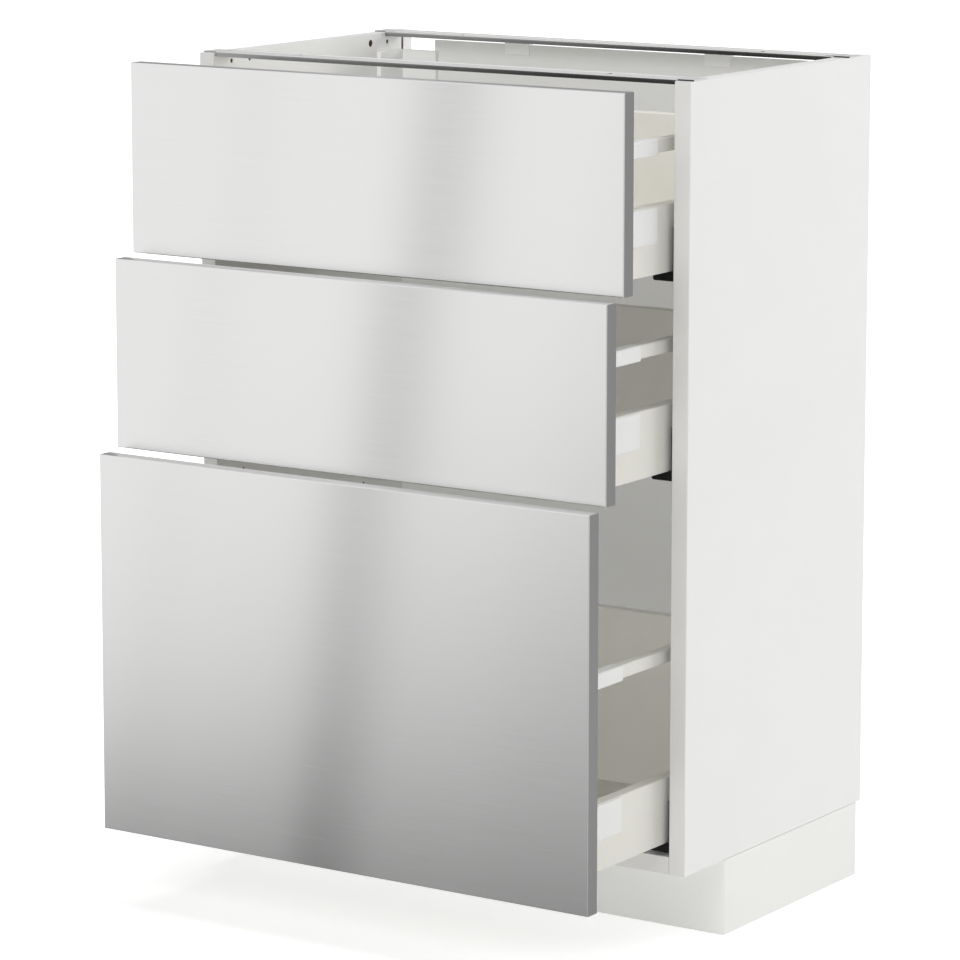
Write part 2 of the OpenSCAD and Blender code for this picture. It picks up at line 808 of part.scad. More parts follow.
// Form of a drawer front with rounded front edges, smaller by inset, as far back as the given Y
module front_form(i, inset, back) {
    low_y = inset - front_air - front_t;
    low_z = front_z(i) + inset;
    high_z = front_z(i) + front_h(i) - inset;
    r = skin_bend - inset;
    intersection() {
        translate([0, 0, low_z]) linear_extrude(high_z - low_z)
            polygon(swapped(eased([low_y, inset - front_x], [back, front_x - inset], r)));
        along_x(-half_w, cabinet_w) polygon(eased([low_y, low_z], [back, high_z], r));
    }
}

// Drawer front: a light board core in a folded steel skin that is open at the back
module front_core(i) {
    color(front_backing) drawer(i) difference() {
        front_form(i, skin_t, -front_air);
        both_sides() front_pegs(i, peg_play);
    }
}
module front_skin(i) {
    color(stainless) drawer(i) difference() {
        front_form(i, 0, -front_air);
        front_form(i, skin_t, over - front_air);
    }
}

// Pegs of the bracket and of the gallery holder in the front, larger by the given play
module front_pegs(i, play = 0) {
    bracket_pegs(i, play);
    holder_peg(i, play);
}
module bracket_pegs(i, play = 0) {
    for (h = peg_heights) peg(side_z(i) + h, play);
}
module holder_peg(i, play = 0) {
    peg(gallery_z(i) - gallery_h / 2, play);
}
module peg(z, play) {
    bore_y([side_mid_x, (side_y - front_air) / 2, z], peg_d + 2 * play, peg_l + front_air + play);
}

// Zinc bracket in the hollow of a drawer side, pegged into the front
module front_bracket(i) {
    z = side_z(i);
    body = [side_inner_x + side_sheet + bracket_body_play, side_outer_x - side_sheet - bracket_body_play];
    body_z = runner_z(i) + slider_top + bracket_body_lift;
    along_y(-front_air, bracket_plate_t) polygon(
        round_rect([side_mid_x - bracket_plate_w / 2, z + bracket_plate_bottom],
            [side_mid_x + bracket_plate_w / 2, z + bracket_plate_top], front_bracket_r));
    along_y(side_y - over, bracket_body_l + over) polygon(
        round_rect([body[0], body_z], [body[1], body_z + bracket_body_h], front_bracket_r));
    bracket_pegs(i);
}
module front_brackets(i) {
    color(dark_zinc) drawer(i) both_sides() front_bracket(i);
}

// Hollow drawer side folded from one sheet, with the flange that carries the floor
module drawer_side(i) {
    z = side_z(i);
    outer = side_outer_x - side_sheet / 2;
    inner = side_inner_x + side_sheet / 2;
    top = z + side_h - side_sheet / 2;
    ledge = z + floor_lift - flange_play - side_sheet / 2;
    mid_z = z + (cap_bottom + cap_top) / 2;
    difference() {
        along_y(side_y, side_l) sheet([[outer, z], [outer, top], [inner, top], [inner, ledge],
            [side_inner_x - floor_flange_w, ledge]], side_sheet, side_bend);
        block([outer - side_sheet, side_y + window_inset, mid_z - window_h / 2],
            [side_outer_x + over, side_y + window_inset + window_l, mid_z + window_h / 2]);
    }
}
module side_right(i) {
    color(drawer_white) drawer(i) drawer_side(i);
}
module side_left(i) {
    color(drawer_white) drawer(i) mirrored() drawer_side(i);
}

// Cap over the window in a drawer side, with a boss that fits the window
module cover_cap(i) {
    z = side_z(i);
    mid_z = z + (cap_bottom + cap_top) / 2;
    half_h = window_h / 2 - window_play;
    rotate([0, 0, 90]) mirror([0, 1, 0]) along_y(side_outer_x, cap_t) polygon(
        round_rect([-front_air, z + cap_bottom], [cap_l - front_air, z + cap_top], cap_r));
    block([side_outer_x - boss_t, side_y + window_inset + window_play, mid_z - half_h],
        [side_outer_x + cap_t / 2, side_y + window_inset + window_l - window_play, mid_z + half_h]);
}
module cover_caps(i) {
    color(drawer_white) drawer(i) both_sides() cover_cap(i);
}

// Outline of a gallery rail, grown by d
module gallery_outline(i, d) {
    polygon(round_rect([side_mid_x - gallery_w / 2 - d, gallery_z(i) - gallery_h - d],
        [side_mid_x + gallery_w / 2 + d, gallery_z(i) + d], gallery_r + d));
}
module gallery_rails(i) {
    start_y = holder_l - front_air - gallery_overlap;
    color(drawer_white) drawer(i) both_sides() along_y(start_y, back_wall_y - start_y) difference() {
        gallery_outline(i, 0);
        gallery_outline(i, -gallery_wall);
    }
}

// Holders: a long one at the front with an inward wedge, and a post on the drawer side at the rear
module gallery_holder(i) {
    low_z = gallery_z(i) - gallery_h - holder_under;
    high_z = gallery_z(i) + holder_over;
    pocket_y = holder_l - front_air - gallery_overlap - pocket_play;
    front = -front_air;
    difference() {
        union() {
            along_y(front, holder_l)
                polygon(round_rect([side_inner_x, low_z], [side_outer_x, high_z], holder_r));
            translate([0, 0, low_z]) linear_extrude(high_z - low_z) polygon([
                [side_inner_x + holder_r, front], [side_inner_x + holder_r, front + wedge_l],
                [side_inner_x, front + wedge_l], [side_inner_x - wedge_w, front + wedge_flat],
                [side_inner_x - wedge_w, front]]);
        }
        along_y(pocket_y, holder_l) gallery_outline(i, pocket_play);
    }
    holder_peg(i);
}
module gallery_post(i) {
    block([side_inner_x + post_inset, back_wall_y, side_z(i) + side_h],
        [side_outer_x - post_play, side_end_y, gallery_z(i)]);
    along_y(back_wall_y - spigot_l, spigot_l + over) gallery_outline(i, -gallery_wall - spigot_play);
}
module gallery_holders(i) {
    color(drawer_white) drawer(i) both_sides() {
        gallery_holder(i);
        gallery_post(i);
    }
}

// Back wall folded from one sheet, as high as the gallery rails
module back_wall(i) {
    front = back_wall_y + side_sheet / 2;
    rear = side_end_y - side_sheet / 2;
    top = gallery_z(i) - side_sheet / 2;
    foot_z = side_z(i) + back_wall_foot;
    color(drawer_white) drawer(i) along_x(-back_wall_x, 2 * back_wall_x)
        sheet([[rear, top - back_wall_lip], [rear, top], [front, top], [front, foot_z], [rear, foot_z]],
            side_sheet, back_wall_bend);
}
module floor_panel(i) {
    color(drawer_white) drawer(i)
        block([floor_play - side_inner_x, face_play - front_air, side_z(i) + floor_lift],
            [side_inner_x - floor_play, back_wall_y - face_play, side_z(i) + floor_lift + floor_t]);
}

side_panel_left();
side_panel_right();
bottom_panel();
back_panel();
carcass_dowels();
top_rail_front();
top_rail_rear();
back_panel_clips();
wall_brackets();
bracket_covers();
plinth_front();
plinth_returns();
plinth_clips();
leg_sockets();
foot_front_left();
foot_front_right();
foot_rear_left();
foot_rear_right();
cabinet_runners();
runner_front_guides();
soft_close_dampers();

intermediate_runners(0);  // bottom_intermediate_runners
runner_glides(0);  // bottom_runner_glides
slider_runners(0);  // bottom_slider_runners
front_core(0);  // bottom_front_core
front_skin(0);  // bottom_front_skin
front_brackets(0);  // bottom_front_brackets
side_left(0);  // bottom_side_left
side_right(0);  // bottom_side_right
cover_caps(0);  // bottom_cover_caps
gallery_rails(0);  // bottom_gallery_rails
gallery_holders(0);  // bottom_gallery_holders
back_wall(0);  // bottom_back_wall
floor_panel(0);  // bottom_floor

intermediate_runners(1);  // middle_intermediate_runners
runner_glides(1);  // middle_runner_glides
slider_runners(1);  // middle_slider_runners
front_core(1);  // middle_front_core
front_skin(1);  // middle_front_skin
front_brackets(1);  // middle_front_brackets
side_left(1);  // middle_side_left
side_right(1);  // middle_side_right
cover_caps(1);  // middle_cover_caps
gallery_rails(1);  // middle_gallery_rails
gallery_holders(1);  // middle_gallery_holders
back_wall(1);  // middle_back_wall
floor_panel(1);  // middle_floor

intermediate_runners(2);  // top_intermediate_runners
runner_glides(2);  // top_runner_glides
slider_runners(2);  // top_slider_runners
front_core(2);  // top_front_core
front_skin(2);  // top_front_skin
front_brackets(2);  // top_front_brackets
side_left(2);  // top_side_left
side_right(2);  // top_side_right
cover_caps(2);  // top_cover_caps
gallery_rails(2);  // top_gallery_rails
gallery_holders(2);  // top_gallery_holders
back_wall(2);  // top_back_wall
floor_panel(2);  // top_floor
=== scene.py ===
"""Looks of the kitchen drawer cabinet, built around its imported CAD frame."""

import math

import bmesh
import bpy
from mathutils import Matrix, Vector


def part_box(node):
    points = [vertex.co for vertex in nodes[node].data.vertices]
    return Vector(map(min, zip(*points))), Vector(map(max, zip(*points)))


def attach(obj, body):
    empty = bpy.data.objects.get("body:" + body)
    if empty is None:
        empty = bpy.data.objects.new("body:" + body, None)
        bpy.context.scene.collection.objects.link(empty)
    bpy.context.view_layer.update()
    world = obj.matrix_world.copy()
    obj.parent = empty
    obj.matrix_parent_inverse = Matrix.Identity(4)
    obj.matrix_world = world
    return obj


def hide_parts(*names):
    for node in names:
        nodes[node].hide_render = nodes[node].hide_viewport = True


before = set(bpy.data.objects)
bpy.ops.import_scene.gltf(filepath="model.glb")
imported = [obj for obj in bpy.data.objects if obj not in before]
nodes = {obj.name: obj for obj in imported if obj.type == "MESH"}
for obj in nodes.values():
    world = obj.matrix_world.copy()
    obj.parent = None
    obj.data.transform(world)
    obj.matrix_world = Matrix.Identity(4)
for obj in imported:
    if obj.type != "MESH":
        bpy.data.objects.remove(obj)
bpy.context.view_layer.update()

DRAWERS = ("bottom", "middle", "top")
FEET = ("front_left", "front_right", "rear_left", "rear_right")
SIDES = {-1: "left", 1: "right"}

# The photograph's camera: angle to the right of the front, angle down in degrees, place, lens in
# millimetres, shift of the frame, and about how far it stands from the cabinet
CAMERA_AZIMUTH = math.radians(33.771)
CAMERA_DIP = 9.306
CAMERA_PLACE = (2.4854, -3.7457, 1.2785)
CAMERA_LENS = 163.9
CAMERA_SHIFT = (0.009, -0.1)
CAMERA_DISTANCE = 4.57

# The way a ray from the camera leaves the fronts, and the level line across it
MIRROR_WAY = (-math.sin(CAMERA_AZIMUTH), -math.cos(CAMERA_AZIMUTH), 0)
MIRROR_SIDE = (math.cos(CAMERA_AZIMUTH), -math.sin(CAMERA_AZIMUTH), 0)
FRONT_CENTRE = (0, -0.25, 0)
FRONT_SEEN_WIDTH = 0.5

# Bands that the fronts mirror: place across the fronts and brightness
BANDS = ((0, 1.0), (0.08, 0.9), (0.18, 1.03), (0.26, 0.93), (0.36, 1.3), (0.44, 0.5), (0.53, 0.86),
         (0.6, 1.1), (0.7, 1.08), (0.8, 0.96), (1, 0.92))
BAND_SLANT = 0.15

# Ramps of light, each as its level at the start and at the end, and then where it starts and ends
MIRROR_LOW = (1.0, 0.0, 0.0, 0.4)
MIRROR_SLOPE = (0.0, -0.38, 0.3, 1.1)
MIRROR_TILT = (-0.5, 0.5, 0, 1)
MIRROR_BESIDE = (1.0, 0.8, 0.6, 1.4)
WORLD_REAR = (1.0, 0.34, 0.25, 0.7)
FLOOR_SHOWN = (0.47, 1.1, 0.5, 1.6)
FLOOR_NEAR = (0.31, 1.0, 0.5, 1.9)
FLOOR_BEHIND = (1.0, 0.34, 0.2, 1.2)
CARD_GRADE = (0.8, 1.04, 0.0, 0.35)
CARD_SIDES = (1.0, 0.0, 0.36, 0.6)
CARD_TOP = (1.0, 0.0, 1.0, 1.3)

WORLD_LEVEL = 0.35
FLOOR_BOUNCE = 0.13
FLOOR_REACH = 30
CARD_DISTANCE = 1.2
CARD_HALF_WIDTH = 0.6
CARD_HEIGHT = 1.3

# Lamps: place, height of the point aimed at, size, power in watts, and whether it casts a shadow
LAMPS = {
    "side_lamp": ((3.0, 3.6, 1.8), 0.45, 3, 132, True),
    "front_lamp": ((0.6, -4.2, 3.1), 0.6, 2, 52, True),
    "top_lamp": ((0, 0.1, 3.6), 0.4, 1.6, 40, True),
    "fill_lamp": ((1.2, -4.4, 1.5), 0.45, 2, 57, False),
}

# Dark and light tone of each finish
TONES = {
    "board_foil": ((0.82, 0.82, 0.81), (0.84, 0.84, 0.83)),
    "board_chips": ((0.05, 0.03, 0.018), (0.22, 0.13, 0.07)),
    "white_back_foil": ((0.82, 0.82, 0.805), (0.84, 0.84, 0.825)),
    "plinth_foil": ((0.84, 0.84, 0.815), (0.86, 0.86, 0.835)),
    "drawer_floor_foil": ((0.73, 0.715, 0.665), (0.75, 0.735, 0.685)),
    "front_backing_foil": ((0.72, 0.715, 0.68), (0.74, 0.735, 0.7)),
    "drawer_steel_coat": ((0.73, 0.718, 0.665), (0.75, 0.738, 0.685)),
    "drawer_plastic": ((0.78, 0.782, 0.765), (0.8, 0.802, 0.785)),
    "black_plastic": ((0.003, 0.003, 0.003), (0.006, 0.006, 0.006)),
    "grey_plastic": ((0.36, 0.36, 0.36), (0.4, 0.4, 0.4)),
    "white_plastic": ((0.89, 0.89, 0.88), (0.92, 0.92, 0.91)),
    "nylon": ((0.77, 0.76, 0.71), (0.8, 0.79, 0.74)),
    "galvanised_steel": ((0.55, 0.56, 0.56), (0.72, 0.73, 0.73)),
    "rail_steel": ((0.72, 0.72, 0.71), (0.78, 0.78, 0.77)),
    "cast_zinc": ((0.33, 0.34, 0.35), (0.48, 0.49, 0.5)),
    "brushed_steel": ((0.765, 0.765, 0.76), (0.79, 0.79, 0.785)),
    "beech_wood": ((0.47, 0.3, 0.17), (0.68, 0.48, 0.29)),
    "pale_floor": ((0.86, 0.86, 0.86), (0.88, 0.88, 0.88)),
}
# Edge band on the boards' front edges: a real band, with a tone darker than the foil that is painted shade
EDGE_BAND_PAINTED_SHADE = (0.675, 0.67, 0.655, 1)

SOFT_EDGE = 0.0006
BOARD_ROUGH = 0.36
CHIPS_ROUGH = 0.9
COAT_ROUGH_SPREAD = 0.05
PLASTIC_ROUGH_SPREAD = 0.06
BRUSH_ROUGH_DROP = 0.16
BRUSH_RELIEF = 0.15

# Depth in a board over which its skin passes into the chips or into its front edge band, whose darker tone
# is painted shade
SKIN_DEPTH = (0.0009, 0.0011)

SCREW_RADIUS = 0.0041
SCREW_HEIGHT = 0.0017
SCREW_STEPS = 20
SCREW_RIM = 0.35

# Cross recess of a screw, in shares of the head's radius and of its height
RECESS_HALF_WIDTH = 0.12
RECESS_REACH = 0.58
RECESS_DEPTH = 0.55

# Runner screws: sheet thickness, runner foot below the sliders, hole above that foot, insets of the
# holes from the front and rear ends
RUNNER_SHEET = 0.0015
RUNNER_DROP = 0.014
RUNNER_HOLE_RISE = 0.037
RUNNER_HOLE_INSETS = (0.031, 0.045)

SOCKET_FLANGE = 0.004
SOCKET_HOLE = 0.025

# Angle a screw was left at: a first turn, and what its place adds to it
RUNNER_TURNS = (0.4, 7)
SOCKET_TURNS = (0.5, 30, 9)

STEM_RADIUS = 0.015
STEM_CHAMFER = 0.001
BORE_RADIUS = 0.0105
BORE_CHAMFER = 0.0006
BORE_FLOOR = 0.012
CENTRE_RADIUS = 0.004
DISC_HEIGHT = 0.006
FOOT_SEGMENTS = 72
GRIP_TEETH = 24
GRIP_DEPTH = 0.0008
GRIP_HEIGHTS = (0.0018, DISC_HEIGHT - 0.0016)

# Rounding of the disc's lower and upper edge, as height and inset, and of the stem's root, as
# height and flare
DISC_FOOT = ((0.0, 0.003), (0.0012, 0.0012))
DISC_TOP = ((-0.0004, 0.0014), (0.0, 0.003))
STEM_ROOT = ((0.0, 0.003), (0.0006, 0.0008), (0.0016, 0.0))

THREAD_PITCH = 0.004
THREAD_DEPTH = 0.0012
THREAD_RINGS = 96
THREAD_FADE_RINGS = 6
THREAD_START = DISC_HEIGHT + 0.004
THREAD_END_INSET = 0.003

SKIN_SHEET = 0.0004
HEM_WIDTH = 0.01
HEM_HEIGHT = 0.0003
HEM_MITRE = 0.0003

# Faces of a slab of eight points, four on each side
SLAB_FACES = [(3, 2, 1, 0), (4, 5, 6, 7)] + [(n, (n + 1) % 4, 4 + (n + 1) % 4, 4 + n) for n in range(4)]


class Nodes:
    """Short calls that add nodes to one node tree."""

    def __init__(self, tree):
        self.tree = tree

    def add(self, kind, *values, **settings):
        node = self.tree.nodes.new("ShaderNode" + kind)
        for key, value in settings.items():
            setattr(node, key, value)
        for socket, value in zip(node.inputs, values):
            self.put(socket, value)
        return node

    def put(self, socket, value):
        if isinstance(value, bpy.types.NodeSocket):
            self.tree.links.new(value, socket)
        elif value is not None:
            socket.default_value = value

    def math(self, operation, a, b=None, c=None):
        return self.add("Math", a, b, c, operation=operation).outputs[0]

    def spread(self, value, low, high, start=0.3, end=0.7):
        """Level that goes from low to high while the value goes from start to end."""
        return self.add("MapRange", value, start, end, low, high).outputs[0]

    def mixed(self, a, b, share):
        return self.math("ADD", self.math("MULTIPLY", a, share), self.math("MULTIPLY", b, 1 - share))

    def choose(self, factor, a, b):
        """Number a where the factor is 0 and b where it is 1."""
        return self.add("Mix", factor, None, a, b).outputs[0]

    def dot(self, place, way):
        return self.add("VectorMath", place, way, operation="DOT_PRODUCT").outputs["Value"]


class Tree(Nodes):
    """One material on the object's own coordinates, which are metres at rest."""

    def __init__(self, name, **fixed):
        self.material = bpy.data.materials.new(name)
        self.material.use_nodes = True
        super().__init__(self.material.node_tree)
        self.shader = self.tree.nodes["Principled BSDF"]
        self.place = self.add("TexCoord").outputs["Object"]
        for key, value in fixed.items():
            self.shade(key.replace("_", " ").title().replace("Ior", "IOR"), value)

    def shade(self, key, value):
        self.put(self.shader.inputs[key], value)

    def colour(self, value):
        self.shade("Base Color", value)

    def rough(self, value):
        self.shade("Roughness", value)

    def surface(self, value):
        self.put(self.tree.nodes["Material Output"].inputs[0], value)

    def texture(self, kind, stretch, settings):
        """Texture drawn out along the axes; a lower stretch makes a longer mark."""
        place = self.add("VectorMath", self.place, stretch, operation="MULTIPLY").outputs[0]
        node = self.add(kind)
        for key, value in {"Vector": place, **settings}.items():
            self.put(node.inputs[key], value)
        return node.outputs

    def noise(self, scale, stretch=(1, 1, 1), detail=3):
        return self.texture("TexNoise", stretch, {"Scale": scale, "Detail": detail})[0]

    def cells(self, scale, stretch):
        tint = self.texture("TexVoronoi", stretch, {"Scale": scale})["Color"]
        return self.add("SeparateColor", tint).outputs[0]

    def ramp(self, value, stops):
        node = self.add("ValToRGB", value)
        node.color_ramp.interpolation = "B_SPLINE"
        marks = node.color_ramp.elements
        while len(marks) < len(stops):
            marks.new(0.5)
        for mark, (at, level) in zip(marks, stops):
            mark.position = at
            mark.color = (level, level, level, 1)
        return node.outputs[0]

    def axis(self, k):
        return self.add("SeparateXYZ", self.place).outputs[k]

    def fronting(self, start, end):
        """How far a face looks to the front or rear: 0 up to start, 1 from end on."""
        normal = self.add("NewGeometry").outputs["Normal"]
        ahead = self.add("SeparateXYZ", normal).outputs[1]
        return self.spread(self.math("ABSOLUTE", ahead), 0, 1, start, end)

    def blend(self, factor, a, b):
        node = self.add("Mix", data_type="RGBA")
        for socket, value in zip((node.inputs[0], node.inputs[6], node.inputs[7]), (factor, a, b)):
            self.put(socket, value)
        return node.outputs[2]

    def tones(self, grade, name, start=0.3, end=0.7):
        """Colour between the dark and light tone of a finish."""
        dark, light = TONES[name]
        return self.blend(self.spread(grade, 0, 1, start, end), (*dark, 1), (*light, 1))

    def bump(self, height, distance, strength, soft=True):
        """Fine relief, over edges that catch the light as rounded ones if soft."""
        node = self.add("Bump")
        for key, value in (("Height", height), ("Distance", distance), ("Strength", strength)):
            self.put(node.inputs[key], value)
        if soft:
            self.put(node.inputs["Normal"], self.add("Bevel", SOFT_EDGE).outputs[0])
        self.shade("Normal", node.outputs[0])

    def depth_in(self, box):
        """Distance from the nearest face of a board's box, so that cuts into the board can be told."""
        distances = []
        for k in range(3):
            distances.append(self.math("SUBTRACT", self.axis(k), box[0][k]))
            distances.append(self.math("SUBTRACT", box[1][k], self.axis(k)))
        least = distances[0]
        for other in distances[1:]:
            least = self.math("MINIMUM", least, other)
        return least


def foil(name, tones, rough):
    """Melamine foil: almost even, with a faint cloud and a fine pearl texture."""
    t = Tree(name, roughness=rough)
    pearl = t.noise(scale=1400, detail=2)
    tone = t.tones(t.mixed(t.noise(scale=9, detail=4), pearl, share=0.7), tones)
    t.bump(pearl, distance=0.00003, strength=0.15, soft=False)
    return t, tone


def coated_board(name, rough):
    t, tone = foil(name, name, rough)
    t.colour(tone)
    return t.material


def cut_board(name, box):
    """White board whose holes and grooves show the chips inside, with an edge band along its front edge
    whose darker tone is painted shade.
    """
    t, tone = foil(name, "board_foil", BOARD_ROUGH)
    start, end = SKIN_DEPTH
    # The front edge face takes the edge band's colour, darkened as painted shade
    shaded_edge_band = t.spread(t.axis(1), 1, 0, box[0][1] + start, box[0][1] + end)
    cut = t.spread(t.depth_in(box), 0, 1, start, end)
    chips = t.tones(t.noise(scale=380, stretch=(1, 1, 2.2), detail=5), "board_chips")
    t.colour(t.blend(cut, t.blend(shaded_edge_band, tone, EDGE_BAND_PAINTED_SHADE), chips))
    t.rough(t.math("MULTIPLY_ADD", cut, CHIPS_ROUGH - BOARD_ROUGH, BOARD_ROUGH))
    return t.material


def powder_coat(name, rough):
    """Powder coating on sheet steel: fine orange peel."""
    t = Tree(name)
    peel = t.noise(scale=650, detail=2)
    t.colour(t.tones(t.noise(scale=24, detail=4), name))
    t.rough(t.spread(t.noise(scale=140), rough - COAT_ROUGH_SPREAD, rough + COAT_ROUGH_SPREAD))
    t.bump(peel, distance=0.00008, strength=0.6)
    return t.material


def moulded(name, rough, grain=1100, depth=0.00006, **fixed):
    """Moulded plastic: spark-eroded grain and faint flow marks along the part."""
    t = Tree(name, **fixed)
    flow = t.noise(scale=45, stretch=(0.4, 1, 1), detail=4)
    skin = t.noise(scale=grain, detail=2)
    t.colour(t.tones(t.mixed(flow, skin, share=0.6), name))
    t.rough(t.spread(skin, rough - PLASTIC_ROUGH_SPREAD, rough + PLASTIC_ROUGH_SPREAD))
    t.bump(skin, distance=depth, strength=0.7)
    return t.material


def galvanised_steel():
    """Galvanised sheet: soft spangle with a rolling direction along the part."""
    t = Tree("galvanised_steel", metallic=1.0)
    rolled = t.noise(scale=900, stretch=(1, 0.04, 1))
    spangle = t.mixed(t.cells(scale=220, stretch=(1, 0.7, 1)), rolled, share=0.55)
    t.colour(t.tones(spangle, "galvanised_steel", start=0.1, end=0.9))
    t.rough(t.spread(spangle, low=0.3, high=0.42, start=0.1, end=0.9))
    t.bump(rolled, distance=0.00004, strength=0.5)
    return t.material


def rail_steel():
    """Smooth zinc-coated rail, marked along the rail by rolling, with painted shade on its folded lips that
    darkens towards the right.
    """
    t = Tree("rail_steel")
    rolled = t.noise(scale=1100, stretch=(0.02, 1, 1))
    lip = t.fronting(start=0.5, end=0.85)
    # Painted shade on the folded lips: a dark colour that grows darker towards the right
    level = t.spread(t.axis(0), low=0.34, high=0.06, start=-0.3, end=0.15)
    dark = t.add("CombineColor", level, level, level).outputs[0]
    t.colour(t.blend(lip, t.tones(rolled, "rail_steel"), dark))
    t.shade("Metallic", t.spread(lip, low=0.25, high=1.0))
    t.rough(t.spread(rolled, low=0.3, high=0.34))
    t.bump(rolled, distance=0.00001, strength=0.15, soft=False)
    return t.material


def cast_zinc():
    """Zinc die casting and plated screws: a dull grey with fine pitting."""
    t = Tree("cast_zinc", metallic=1.0)
    pits = t.noise(scale=1500)
    t.colour(t.tones(t.noise(scale=130, detail=4), "cast_zinc"))
    t.rough(t.spread(pits, low=0.36, high=0.54))
    t.bump(pits, distance=0.00005, strength=0.6)
    return t.material


def brushed_steel():
    """Stainless steel with a fine horizontal brush that draws reflections out upwards and downwards."""
    t = Tree("brushed_steel", metallic=1.0, anisotropic=0.9, anisotropic_rotation=0.25)
    t.shade("Tangent", t.add("Tangent", direction_type="RADIAL", axis="Z").outputs[0])
    fine = t.noise(scale=1500, stretch=(0.012, 1, 1.3), detail=2)
    brush = t.mixed(fine, t.noise(scale=420, stretch=(0.02, 1, 1)), share=0.7)
    flat = t.fronting(start=0.5, end=0.9)
    brush = t.math("MULTIPLY_ADD", t.math("SUBTRACT", brush, 0.5), flat, 0.5)
    t.colour(t.tones(brush, "brushed_steel"))
    t.rough(t.math("MULTIPLY_ADD", flat, -BRUSH_ROUGH_DROP, t.spread(brush, low=0.335, high=0.365)))
    t.bump(brush, distance=0.00001, strength=t.math("MULTIPLY", flat, BRUSH_RELIEF), soft=False)
    return t.material


def beech_wood():
    """Beech dowels: short rays and fine grain along the dowel."""
    t = Tree("beech_wood")
    grain = t.noise(scale=700, stretch=(0.06, 1, 1), detail=5)
    t.colour(t.tones(grain, "beech_wood"))
    t.rough(t.spread(grain, low=0.5, high=0.7))
    t.bump(grain, distance=0.0001, strength=0.5)
    return t.material


FINISHES = {
    "back_board": coated_board("white_back_foil", rough=0.5),
    "plinth_board": coated_board("plinth_foil", rough=0.34),
    "beech": beech_wood(),
    "galvanised": galvanised_steel(),
    "dark_zinc": cast_zinc(),
    "stainless": brushed_steel(),
    "drawer_steel": powder_coat("drawer_steel_coat", rough=0.4),
    "drawer_cap": moulded("drawer_plastic", rough=0.45),
    "drawer_board": coated_board("drawer_floor_foil", rough=0.42),
    "front_core": coated_board("front_backing_foil", rough=0.48),
    "black_plastic": moulded("black_plastic", rough=0.45, grain=900, depth=0.00009, specular_ior_level=0.3),
    "grey_plastic": moulded("grey_plastic", rough=0.48),
    "white_plastic": moulded("white_plastic", rough=0.42),
    "nylon": moulded("nylon", rough=0.34, grain=700, depth=0.00004, subsurface_weight=0.1),
}

OWN_FINISHES = {
    "side_panel_left": cut_board("left_board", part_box("side_panel_left")),
    "side_panel_right": cut_board("right_board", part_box("side_panel_right")),
    "bottom_panel": cut_board("bottom_board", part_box("bottom_panel")),
    "top_rail_front": rail_steel(),
}
OWN_FINISHES["top_rail_rear"] = OWN_FINISHES["top_rail_front"]

for name, node in nodes.items():
    for place in node.material_slots:
        place.material = OWN_FINISHES.get(name) or FINISHES[place.material.name.split(".")[0]]


def piece(name, points, faces, body, slot):
    """A new mesh piece that rides on a body and takes a slot's finish."""
    mesh = bpy.data.meshes.new(name)
    mesh.from_pydata([tuple(p) for p in points], [], faces)
    mesh.materials.append(FINISHES[slot])
    whole = bmesh.new()
    whole.from_mesh(mesh)
    bmesh.ops.recalc_face_normals(whole, faces=whole.faces)
    whole.to_mesh(mesh)
    whole.free()
    thing = bpy.data.objects.new(name, mesh)
    bpy.context.scene.collection.objects.link(thing)
    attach(thing, body)
    return thing


def joined(parts):
    """Points and faces of several forms as one list each."""
    points, faces = [], []
    for some_points, some_faces in parts:
        faces += [tuple(k + len(points) for k in face) for face in some_faces]
        points += some_points
    return points, faces


def lathe(centre, rings, segments):
    """Form turned about an upright axis. A ring is a height and a radius, or a radius by the angle."""
    points, faces = [], []
    for height, radius in rings:
        for k in range(segments):
            angle = 2 * math.pi * k / segments
            r = radius(angle) if callable(radius) else radius
            points.append((centre[0] + r * math.cos(angle), centre[1] + r * math.sin(angle), height))
    for j in range(len(rings) - 1):
        for k in range(segments):
            a, b = j * segments + k, j * segments + (k + 1) % segments
            faces.append((a, b, b + segments, a + segments))
    faces.append(tuple(reversed(range(segments))))
    faces.append(tuple(range(len(points) - segments, len(points))))
    return points, faces


def screw_head(place, out, turn):
    """Domed screw head with a cross recess: a height field over a disc, and its rim down to the seat."""
    out = Vector(out)
    side = out.orthogonal().normalized()
    across = out.cross(side)
    points, faces = [], []
    for i in range(SCREW_STEPS + 1):
        for j in range(SCREW_STEPS + 1):
            u, v = 2 * i / SCREW_STEPS - 1, 2 * j / SCREW_STEPS - 1
            x, y = u * math.sqrt(1 - v * v / 2), v * math.sqrt(1 - u * u / 2)
            level = SCREW_RIM + (1 - SCREW_RIM) * math.sqrt(max(0, 1 - (x * x + y * y)))
            a = abs(x * math.cos(turn) + y * math.sin(turn))
            b = abs(y * math.cos(turn) - x * math.sin(turn))
            if min(a, b) < RECESS_HALF_WIDTH and max(a, b) < RECESS_REACH:
                level -= RECESS_DEPTH
            spot = Vector(place) + SCREW_RADIUS * (x * side + y * across)
            points.append(spot + SCREW_HEIGHT * level * out)
    row = SCREW_STEPS + 1
    for i in range(SCREW_STEPS):
        for j in range(SCREW_STEPS):
            k = i * row + j
            faces.append((k, k + row, k + row + 1, k + 1))
    rim = list(range(row))
    rim += [i * row + SCREW_STEPS for i in range(1, row)]
    rim += [SCREW_STEPS * row + j for j in range(SCREW_STEPS - 1, -1, -1)]
    rim += [i * row for i in range(SCREW_STEPS - 1, 0, -1)]
    first = len(points)
    for k in rim:
        points.append(points[k] - SCREW_HEIGHT * SCREW_RIM * out)
    for n in range(len(rim)):
        m = (n + 1) % len(rim)
        faces.append((rim[n], rim[m], first + m, first + n))
    return points, faces


